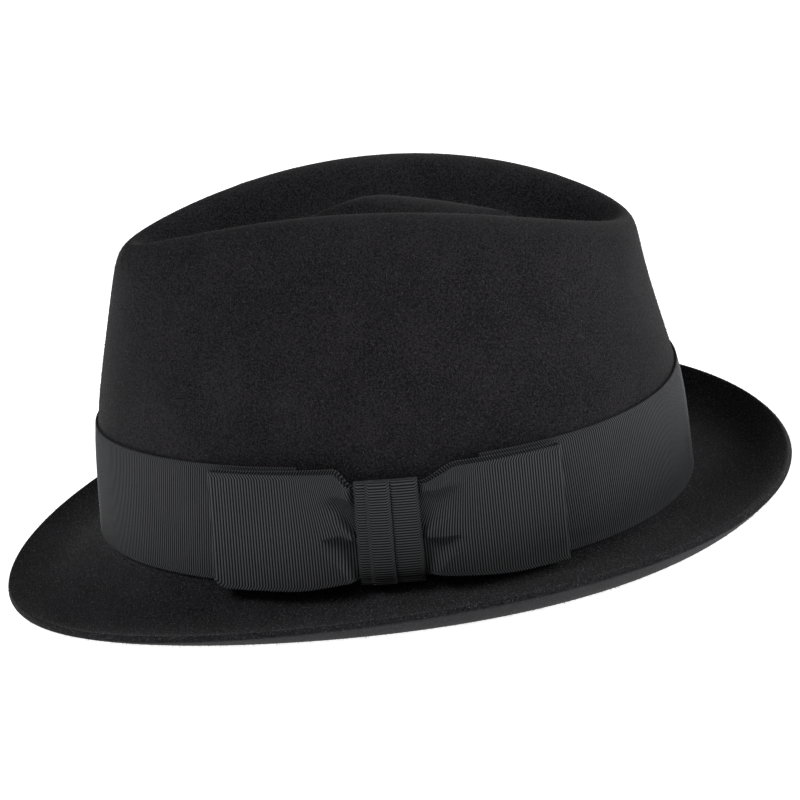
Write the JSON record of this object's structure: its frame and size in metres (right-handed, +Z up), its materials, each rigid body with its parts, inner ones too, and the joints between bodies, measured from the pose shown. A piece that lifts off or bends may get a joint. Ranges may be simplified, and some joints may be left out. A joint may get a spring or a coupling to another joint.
{
  "type": "felt trilby hat",
  "caption": "Black fur-felt trilby with a teardrop crown, a brim turned down in front and up behind, and a wide ribbon band with a flat bow on the wearer's left.",
  "frame": {"origin": "middle of the hat's outline seen from above, on the surface it rests on", "axes": "+Z up, -Y towards the front of the hat, +X towards the wearer's left, where the bow is"},
  "size_m": [0.2466, 0.2852, 0.1275],
  "materials": {
    "felt": "matt fur felt",
    "ribbon": "ribbed grosgrain with a slight sheen"
  },
  "bodies": {
    "root": {"felt_hood": "felt", "ribbon_band": "ribbon", "bow_front_loop": "ribbon", "bow_rear_loop": "ribbon", "bow_knot": "ribbon"}
  },
  "joints": []
}
